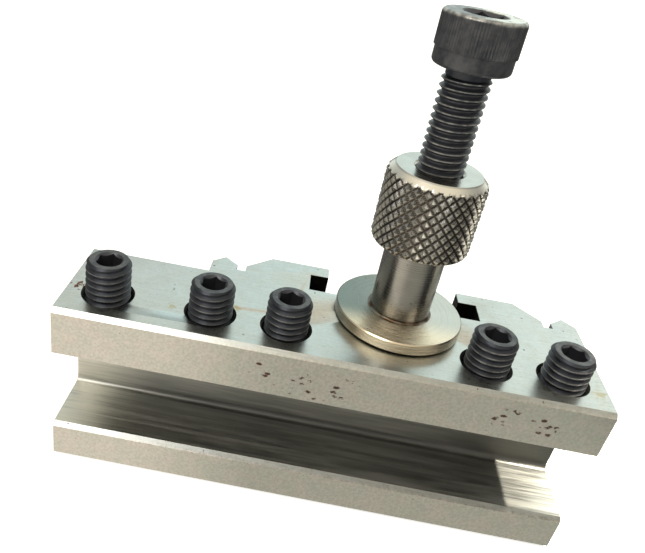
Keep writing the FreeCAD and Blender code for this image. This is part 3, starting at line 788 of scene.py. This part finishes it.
head_tree, inputs, outputs = new_tree("knurled_head_screw", {
    "Length": 0.055, "Radius": 0.00395, "Teeth": HEAD_TEETH, "Tooth Depth": HEAD_TOOTH_DEPTH,
    "Knurl Bottom": HEAD_BAND_TOP, "Head Height": HEAD_HEIGHT, "Place": Vector(),
    "Finish": ground_steel})
radius, angle, height = polar(head_tree)
wave = calc(head_tree, "COSINE", calc(head_tree, "MULTIPLY", angle, inputs["Teeth"]))
valley = calc(head_tree, "MULTIPLY_ADD", wave, -0.5, 0.5)
above = calc(head_tree, "SUBTRACT", height, inputs["Knurl Bottom"])
below = calc(head_tree, "SUBTRACT", inputs["Head Height"], height)
knurled = calc(head_tree, "MULTIPLY", fade(head_tree, above, *KNURL_FOOT),
               fade(head_tree, below, *KNURL_HEAD))
valley = calc(head_tree, "MULTIPLY", valley, knurled)
depth = calc(head_tree, "MULTIPLY", valley, inputs["Tooth Depth"])
cut_radius = calc(head_tree, "SUBTRACT", radius, depth)
head = node(head_tree, "GeometryNodeSetPosition", {
    "Geometry": inputs["Mesh"], "Position": round_point(head_tree, cut_radius, angle, height)})
lifted = node(head_tree, "GeometryNodeTransform", {
    "Geometry": head.outputs[0], "Translation": node(head_tree, "ShaderNodeCombineXYZ", {
        "Z": calc(head_tree, "MULTIPLY", inputs["Head Height"], -1.0)}).outputs[0]})
socketed = node(head_tree, "GeometryNodeGroup", node_tree=socket_tree)
put(head_tree, socketed.inputs["Mesh"], lifted.outputs[0])
put(head_tree, socketed.inputs["Key"], HEAD_KEY)
put(head_tree, socketed.inputs["Depth"], HEAD_KEY_DEPTH)
rod = node(head_tree, "GeometryNodeGroup", node_tree=rod_tree)
put(head_tree, rod.inputs["Length"], calc(head_tree, "SUBTRACT", inputs["Length"], THREAD_START))
put(head_tree, rod.inputs["Radius"], inputs["Radius"])
put(head_tree, rod.inputs["Turns"], ROD_TURNS)
rod_drop = calc(head_tree, "MULTIPLY_ADD", inputs["Head Height"], -1.0, -THREAD_START)
rod_set = node(head_tree, "GeometryNodeTransform", {
    "Geometry": rod.outputs["Mesh"],
    "Translation": node(head_tree, "ShaderNodeCombineXYZ", {"Z": rod_drop}).outputs[0]})
one = node(head_tree, "GeometryNodeMeshBoolean", operation="UNION", solver="EXACT")
for part in (socketed.outputs["Mesh"], rod_set.outputs[0]):
    head_tree.links.new(part, one.inputs["Mesh 2"])
radius, angle, height = polar(head_tree)
crest = fade(head_tree, calc(head_tree, "SUBTRACT", inputs["Radius"], radius), CREST_BAND, 0.0,
             CREST_BLACK, ROD_RUB)
under_head = calc(head_tree, "LESS_THAN", height, rod_drop)
near_top = fade(head_tree, height, -HEAD_TOP_ROUND * 0.9, -HEAD_TOP_ROUND * 0.4)
near_rim = fade(head_tree, radius, HEAD_RADIUS - HEAD_TOP_ROUND, HEAD_RADIUS - HEAD_TOP_ROUND * 0.6)
rim = calc(head_tree, "MULTIPLY", near_top, near_rim)
on_head = calc(head_tree, "GREATER_THAN", height, -HEAD_HEIGHT - WELD)
on_side = calc(head_tree, "GREATER_THAN", radius, HEAD_BAND_RADIUS - HEAD_FOOT_ROUND)
handled = calc(head_tree, "MULTIPLY", calc(head_tree, "MULTIPLY", on_head, on_side), HEAD_RUB)
rim = calc(head_tree, "MULTIPLY", rim, RIM_RUB)
# The top is rubbed, more on its +X side, which is partly a painted highlight.
on_top = calc(head_tree, "MULTIPLY", calc(head_tree, "GREATER_THAN", height, -WELD),
              fade(head_tree, calc(head_tree, "COSINE", angle), *HEAD_TOP_SHEEN_SIDES, *HEAD_TOP_RUB_AND_SHEEN))
on_head = calc(head_tree, "MAXIMUM", calc(head_tree, "MAXIMUM", rim, handled), on_top)
worn = calc(head_tree, "SUBTRACT", crest, on_head)
worn = calc(head_tree, "MULTIPLY_ADD", under_head, worn, on_head)
marked = keep_number(head_tree, one.outputs[0], "crest", worn)
marked = keep_number(head_tree, marked, "socket", in_socket(head_tree, radius, height, HEAD_KEY))
end_tree(head_tree, inputs, outputs, marked)

head_profile = [(0, -NECK_LENGTH), (NECK_RADIUS, -NECK_LENGTH)]
head_profile += arc(NECK_RADIUS + NECK_FILLET, -NECK_FILLET, NECK_FILLET, 180, 90)
head_profile += arc(HEAD_BAND_RADIUS - HEAD_FOOT_ROUND, HEAD_FOOT_ROUND, HEAD_FOOT_ROUND, -90, 0)
head_profile += [(HEAD_BAND_RADIUS, HEAD_BAND_TOP), (HEAD_RADIUS, HEAD_BAND_TOP + 0.0001),
                 (HEAD_RADIUS, HEAD_BAND_TOP + 0.0003), (HEAD_RADIUS, HEAD_HEIGHT - 0.0016)]
head_profile += arc(HEAD_RADIUS - HEAD_TOP_ROUND, HEAD_HEIGHT - HEAD_TOP_ROUND, HEAD_TOP_ROUND,
                    0, 90)
head_profile += [(0, HEAD_HEIGHT)]
low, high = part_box("cap_screw")
cap_screw = lathe("socket_head_screw", head_profile, HEAD_COLUMNS)
run_tree(cap_screw, head_tree, {
    "Length": high.z - low.z - HEAD_HEIGHT, "Finish": black_oxide,
    "Place": Vector(((low.x + high.x) / 2, (low.y + high.y) / 2, high.z))})
settle(cap_screw, CAP_SCREW_SMOOTH)
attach(cap_screw, "holder")
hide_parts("cap_screw")


# Height nut. Turned from one bar of steel: a flange that rests on the jaw, a smooth barrel,
# and a grip rolled with a diamond knurl before its upper edge was chamfered.
FLANGE_RADIUS = 0.0118
FLANGE_HEIGHT = 0.0022
FLANGE_EDGE = 0.0002
BARREL_RADIUS = 0.0055
BARREL_FILLET = 0.0005
GRIP_RADIUS = 0.00875
GRIP_BOTTOM = 0.0162
GRIP_TOP = 0.0288
GRIP_FOOT_ROUND = 0.0010
NUT_HEIGHT = 0.0302
NUT_TOP_RADIUS = 0.00735
BORE_RADIUS = 0.0040
BORE_CHAMFER = 0.0004
KNURL_COUNT = 29
KNURL_ROW = 0.0010
KNURL_DEPTH = 0.0005
# Above 1 it leaves a small flat on each point of the knurl.
KNURL_FLAT = 1.12
# Columns of faces for each point of the knurl.
KNURL_FINENESS = 8
NUT_SMOOTH = math.radians(24)

knurl_tree, inputs, outputs = new_tree("diamond_knurl", {
    "Count": KNURL_COUNT, "Row": KNURL_ROW, "Depth": KNURL_DEPTH, "Crest": GRIP_RADIUS,
    "Bottom": GRIP_BOTTOM, "Place": Vector(), "Finish": ground_steel})
radius, angle, height = polar(knurl_tree)
columns = calc(knurl_tree, "MULTIPLY", angle, calc(knurl_tree, "DIVIDE", inputs["Count"], math.pi))
first_row = calc(knurl_tree, "SUBTRACT", inputs["Bottom"], inputs["Row"])
rows = calc(knurl_tree, "DIVIDE", calc(knurl_tree, "SUBTRACT", height, first_row), inputs["Row"])
sides = []
for way in ("ADD", "SUBTRACT"):
    strand = calc(knurl_tree, "MULTIPLY", calc(knurl_tree, way, columns, rows), 0.5)
    middle = calc(knurl_tree, "FLOOR", calc(knurl_tree, "ADD", strand, 0.5))
    sides.append(calc(knurl_tree, "ABSOLUTE", calc(knurl_tree, "SUBTRACT", strand, middle)))
slope = calc(knurl_tree, "MULTIPLY", calc(knurl_tree, "MAXIMUM", *sides), 2.0 * KNURL_FLAT)
fall = node(knurl_tree, "ShaderNodeClamp", {"Value": calc(knurl_tree, "ADD", slope, 1 - KNURL_FLAT)})
knurl_radius = calc(knurl_tree, "SUBTRACT", inputs["Crest"],
                    calc(knurl_tree, "MULTIPLY", fall.outputs[0], inputs["Depth"]))
on_grip = calc(knurl_tree, "GREATER_THAN", height, calc(knurl_tree, "SUBTRACT", inputs["Bottom"], WELD))
stands_out = calc(knurl_tree, "GREATER_THAN", radius, knurl_radius)
pressed = calc(knurl_tree, "MULTIPLY", on_grip, stands_out)
knurled = node(knurl_tree, "GeometryNodeSetPosition", {
    "Geometry": inputs["Mesh"], "Selection": pressed,
    "Position": round_point(knurl_tree, knurl_radius, angle, height)})
marked = keep_number(knurl_tree, inputs["Mesh"], "groove",
                     calc(knurl_tree, "MULTIPLY", pressed, fall.outputs[0]))
put(knurl_tree, knurled.inputs["Geometry"], marked)
end_tree(knurl_tree, inputs, outputs, knurled.outputs[0])

# The turned faces: rings that follow the profile, a flange with painted shade on the left, a
# painted highlight on the right and a painted warm reflection in front, dirt and painted shade
# in the knurl's grooves and rust at the neck.
RING_SCALE = 1400.0
# The range of the rings' noise, and the share of dull steel at either end of it.
FLANGE_RINGS = (0.40, 0.54, 0.65, 0.0)
BARREL_RINGS = (0.3, 0.7, 0.6, 0.3)
RINGS_ON_TOP = 0.25
BARREL_BUMP = 0.08
BRIGHT_STEEL = ((0.38, 0.37, 0.34, 1), (0.58, 0.57, 0.53, 1))
DULL_STEEL = (0.15, 0.145, 0.13, 1)
GROOVE_DIRT_AND_SHADE = (0.050, 0.040, 0.033, 1)
DIRTY_SHADED_GROOVE = (0.46, 0.94)
FLANGE_LEFT_SHADE, FLANGE_LEFT_SHADE_STRENGTH = (0.15, 0.20, 0.18, 1), 0.75
FLANGE_LEFT_SHADE_EDGE = (-0.010, 0.005)
FLANGE_RIGHT_HIGHLIGHT, FLANGE_HIGHLIGHT_STRENGTH = (0.92, 0.93, 0.86, 1), 0.42
FLANGE_HIGHLIGHT_EDGE = (-0.003, 0.006)
FLANGE_FRONT_REFLECTION, FLANGE_REFLECTION_STRENGTH = (0.95, 0.80, 0.58, 1), 0.78
FLANGE_REFLECTION_EDGE = (-0.0090, -0.0020)
CHAMFER_STEEL, CHAMFER_STRENGTH = (0.80, 0.77, 0.69, 1), 0.8
NECK_RUST = (0.075, 0.045, 0.025, 1)
NECK_OUT, NECK_UP = (0.0061, 0.0059), (0.0030, 0.0026)
NECK_CLOUD = (0.35, 0.6, 0.4, 1.0)
SPECK_STRENGTH = 0.8
TURNED_ROUGHNESS = (0.20, 0.28)

turned_steel, tree, shader = new_steel("turned_steel")
spot = node(tree, "ShaderNodeTexCoord").outputs["Object"]
low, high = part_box("height_nut")
NUT_PLACE = Vector(((low.x + high.x) / 2, (low.y + high.y) / 2, low.z))
centred = node(tree, "ShaderNodeVectorMath", {0: spot, 1: NUT_PLACE}, operation="SUBTRACT").outputs[0]
axes = node(tree, "ShaderNodeSeparateXYZ", {0: centred}).outputs
flat = node(tree, "ShaderNodeCombineXYZ", {"X": axes["X"], "Y": axes["Y"]}).outputs[0]
out = node(tree, "ShaderNodeVectorMath", {0: flat}, operation="LENGTH").outputs["Value"]
along = calc(tree, "ADD", out, axes["Z"])
rings = node(tree, "ShaderNodeTexNoise", {"W": calc(tree, "MULTIPLY", along, RING_SCALE),
                                          "Detail": 5.0, "Roughness": 0.72},
             noise_dimensions="1D").outputs[0]
grain = use_group(tree, lay_group, {"Place": spot, "Lay": (900, 900, 900), "Cloud Size": 0.003})
bare = blend(tree, grain["Cloud"], *BRIGHT_STEEL)
under_grip = fade(tree, axes["Z"], GRIP_BOTTOM + 0.0002, GRIP_BOTTOM - 0.0002)
on_flange = fade(tree, axes["Z"], FLANGE_HEIGHT + 0.0004, FLANGE_HEIGHT + 0.0001)
ringed = calc(tree, "MULTIPLY", on_flange, fade(tree, rings, *FLANGE_RINGS))
barrel_rings = calc(tree, "MULTIPLY", under_grip, fade(tree, rings, *BARREL_RINGS))
ringed = calc(tree, "MAXIMUM", ringed, barrel_rings)
bare = blend(tree, ringed, bare, DULL_STEEL)
# Painted shade on the flange's left, a painted highlight on its right and a painted warm reflection in
# front.
for axis, edge, shares, finish in (
        ("X", FLANGE_LEFT_SHADE_EDGE, (FLANGE_LEFT_SHADE_STRENGTH, 0.0), FLANGE_LEFT_SHADE),
        ("X", FLANGE_HIGHLIGHT_EDGE, (0.0, FLANGE_HIGHLIGHT_STRENGTH), FLANGE_RIGHT_HIGHLIGHT),
        ("Y", FLANGE_REFLECTION_EDGE, (FLANGE_REFLECTION_STRENGTH, 0.0), FLANGE_FRONT_REFLECTION)):
    bare = blend(tree, calc(tree, "MULTIPLY", on_flange, fade(tree, axes[axis], *edge, *shares)),
                 bare, finish)
rings_over = calc(tree, "MULTIPLY", ringed, calc(tree, "MULTIPLY", on_flange, RINGS_ON_TOP))
bare = blend(tree, rings_over, bare, DULL_STEEL)
on_chamfer = calc(tree, "MULTIPLY", fade(tree, axes["Z"], GRIP_TOP, GRIP_TOP + 0.0003),
                  fade(tree, axes["Z"], NUT_HEIGHT - 0.0001, NUT_HEIGHT - 0.0003, 0.0,
                       CHAMFER_STRENGTH))
bare = blend(tree, on_chamfer, bare, CHAMFER_STEEL)
specks = use_group(tree, speck_group, {"Place": spot, "Spacing": 0.0014, "Size": 0.17, "Share": 0.30})
bare = blend(tree, calc(tree, "MULTIPLY", specks["Mask"], SPECK_STRENGTH), bare, GROOVE_DIRT_AND_SHADE)
groove = node(tree, "ShaderNodeAttribute", attribute_name="groove").outputs["Fac"]
# The knurl's grooves darken with dirt and painted shade.
groove_dirt_and_shade = fade(tree, groove, *DIRTY_SHADED_GROOVE)
at_neck = calc(tree, "MULTIPLY", fade(tree, out, *NECK_OUT), fade(tree, axes["Z"], *NECK_UP))
stain = calc(tree, "MULTIPLY", at_neck, fade(tree, grain["Cloud"], *NECK_CLOUD))
colour = blend(tree, groove_dirt_and_shade, bare, GROOVE_DIRT_AND_SHADE)
colour = blend(tree, stain, colour, NECK_RUST)
put(tree, shader.inputs["Base Color"], colour)
put(tree, shader.inputs["Roughness"], fade(tree, rings, *NOISE, *TURNED_ROUGHNESS))
turned = calc(tree, "MULTIPLY", rings, fade(tree, on_flange, 0.0, 1.0, BARREL_BUMP, 1.0))
bump = node(tree, "ShaderNodeBump", {"Height": turned, "Strength": 0.6, "Distance": 0.00010})
put(tree, shader.inputs["Normal"], bump.outputs[0])

nut_profile = [(BORE_RADIUS + BORE_CHAMFER, 0), (FLANGE_RADIUS - FLANGE_EDGE, 0),
               (FLANGE_RADIUS, FLANGE_EDGE), (FLANGE_RADIUS, FLANGE_HEIGHT - FLANGE_EDGE),
               (FLANGE_RADIUS - FLANGE_EDGE, FLANGE_HEIGHT)]
nut_profile += arc(BARREL_RADIUS + BARREL_FILLET, FLANGE_HEIGHT + BARREL_FILLET, BARREL_FILLET,
                   270, 180)
nut_profile += [(BARREL_RADIUS, GRIP_BOTTOM)]
nut_profile += arc(GRIP_RADIUS - GRIP_FOOT_ROUND, GRIP_BOTTOM + GRIP_FOOT_ROUND, GRIP_FOOT_ROUND,
                   -90, 0)
row_step = 2 * KNURL_ROW / KNURL_FINENESS
row_height = GRIP_BOTTOM + GRIP_FOOT_ROUND + row_step
while row_height < GRIP_TOP:
    nut_profile.append((GRIP_RADIUS, row_height))
    row_height += row_step
chamfer_rows = round((NUT_HEIGHT - GRIP_TOP) / row_step)
for row in range(chamfer_rows + 1):
    share = row / chamfer_rows
    nut_profile.append((GRIP_RADIUS + (NUT_TOP_RADIUS - GRIP_RADIUS) * share,
                        GRIP_TOP + (NUT_HEIGHT - GRIP_TOP) * share))
nut_profile += [(BORE_RADIUS + BORE_CHAMFER, NUT_HEIGHT), (BORE_RADIUS, NUT_HEIGHT - BORE_CHAMFER),
                (BORE_RADIUS, BORE_CHAMFER)]
nut = lathe("knurled_height_nut", nut_profile, KNURL_COUNT * KNURL_FINENESS, closed=True)
run_tree(nut, knurl_tree, {"Place": NUT_PLACE, "Finish": turned_steel})
settle(nut, NUT_SMOOTH)
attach(nut, "nut")
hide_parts("height_nut")

low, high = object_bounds()
